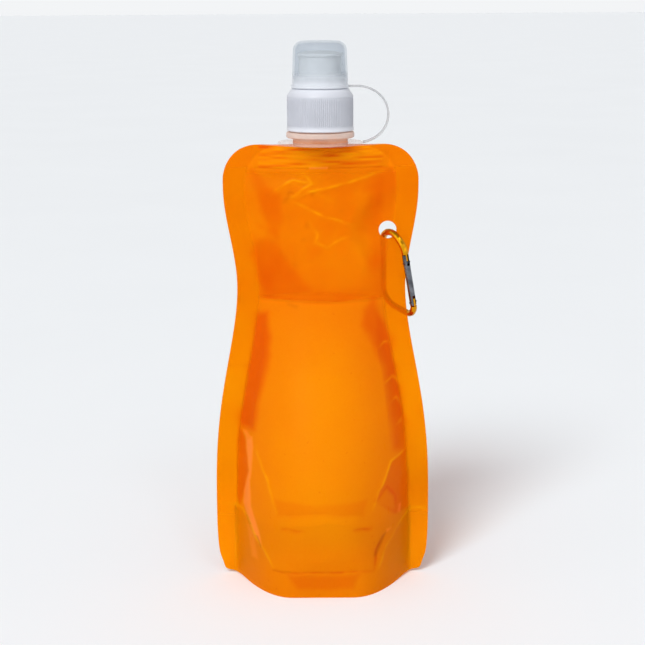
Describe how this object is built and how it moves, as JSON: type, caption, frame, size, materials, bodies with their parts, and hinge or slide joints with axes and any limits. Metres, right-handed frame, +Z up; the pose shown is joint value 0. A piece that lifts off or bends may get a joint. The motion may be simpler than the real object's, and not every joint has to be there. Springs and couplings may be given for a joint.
{
  "type": "folding water bottle",
  "caption": "Flat orange film water bottle with a waisted outline, stand-up gusset base, push-pull screw cap with tethered dust cover, and a snap carabiner.",
  "frame": {"origin": "middle of the base rim, on the surface that the bottle stands on", "axes": "+Z up through the cap, +X across the width towards the hang hole, +Y to the rear"},
  "size_m": [0.104, 0.068, 0.26],
  "materials": {
    "orange_film": "thin glossy translucent film",
    "gusset_film": "thin glossy translucent film",
    "frosted_spout": "frosted translucent polyethylene",
    "clear_plastic": "milky clear polypropylene",
    "gasket_foam": "matt foamed liner",
    "white_cap": "satin moulded with fine ribs",
    "nozzle_plastic": "satin moulded",
    "gold_anodised": "gold anodised, polished",
    "silver_metal": "polished",
    "pin_steel": "satin"
  },
  "bodies": {
    "pouch_lower": {"front_film_lower": "orange_film", "rear_film_lower": "orange_film"},
    "gusset": {"base_gusset": "gusset_film"},
    "pouch_upper": {"front_film_upper": "orange_film", "rear_film_upper": "orange_film", "spout": "frosted_spout"},
    "tether_collar": {"retaining_ring": "clear_plastic"},
    "tether": {"tether_strap": "clear_plastic"},
    "cover": {"dust_cover": "clear_plastic"},
    "cap_lift": {"closure_gasket": "gasket_foam"},
    "cap": {"closure": "white_cap"},
    "nozzle": {"pull_nozzle": "nozzle_plastic"},
    "carabiner": {"carabiner_frame": "gold_anodised", "gate_hinge_pin": "pin_steel"},
    "gate": {"carabiner_gate": "silver_metal", "latch_pin": "pin_steel", "gate_spring": "pin_steel"}
  },
  "joints": [
    {"name": "pouch_fold", "type": "hinge", "parent": "pouch_lower", "child": "pouch_upper", "pos_m": [0, 0, 0.106], "axis": [1, 0, 0], "range_deg": [0, 160], "deforming": ["front_film_lower", "rear_film_lower", "base_gusset", "front_film_upper", "rear_film_upper"]},
    {"name": "gusset_rise", "type": "slide", "parent": "pouch_lower", "child": "gusset", "axis": [0, 0, 1], "range_m": [0, 0.021]},
    {"name": "tether_swivel", "type": "hinge", "parent": "pouch_upper", "child": "tether_collar", "pos_m": [0, 0, 0.2122], "axis": [0, 0, 1], "continuous": true},
    {"name": "tether_stretch", "type": "slide", "parent": "tether_collar", "child": "tether", "axis": [0, 0, 1], "range_m": [0, 0.0129], "deforming": ["tether_strap"]},
    {"name": "cover_pull", "type": "slide", "parent": "tether", "child": "cover", "axis": [0, 0, 1], "range_m": [0, 0.02]},
    {"name": "cap_rise", "type": "slide", "parent": "pouch_upper", "child": "cap_lift", "axis": [0, 0, 1], "range_m": [0, 0.0129]},
    {"name": "cap_turn", "type": "hinge", "parent": "cap_lift", "child": "cap", "pos_m": [0, 0, 0.2185], "axis": [0, 0, 1], "range_deg": [0, 1440]},
    {"name": "nozzle_pull", "type": "slide", "parent": "cap", "child": "nozzle", "axis": [0, 0, 1], "range_m": [0, 0.0033]},
    {"name": "carabiner_swing", "type": "hinge", "parent": "pouch_upper", "child": "carabiner", "pos_m": [0.0316, 0, 0.1716], "axis": [0, -1, 0], "range_deg": [0, 100]},
    {"name": "gate_swing", "type": "hinge", "parent": "carabiner", "child": "gate", "pos_m": [0.04378, -0.00206, 0.13711], "axis": [-0.7483, -0.6157, -0.247], "range_deg": [0, 25], "stiffness_Nm_per_rad": 0.02, "springref_deg": -17.19}
  ],
  "couplings": [
    {"joint": "gusset_rise", "follows": "pouch_fold", "m_per_rad": 0.0075},
    {"joint": "cap_rise", "follows": "cap_turn", "m_per_rad": 0.0005093},
    {"joint": "tether_stretch", "follows": "cap_turn", "m_per_rad": 0.0005093}
  ]
}
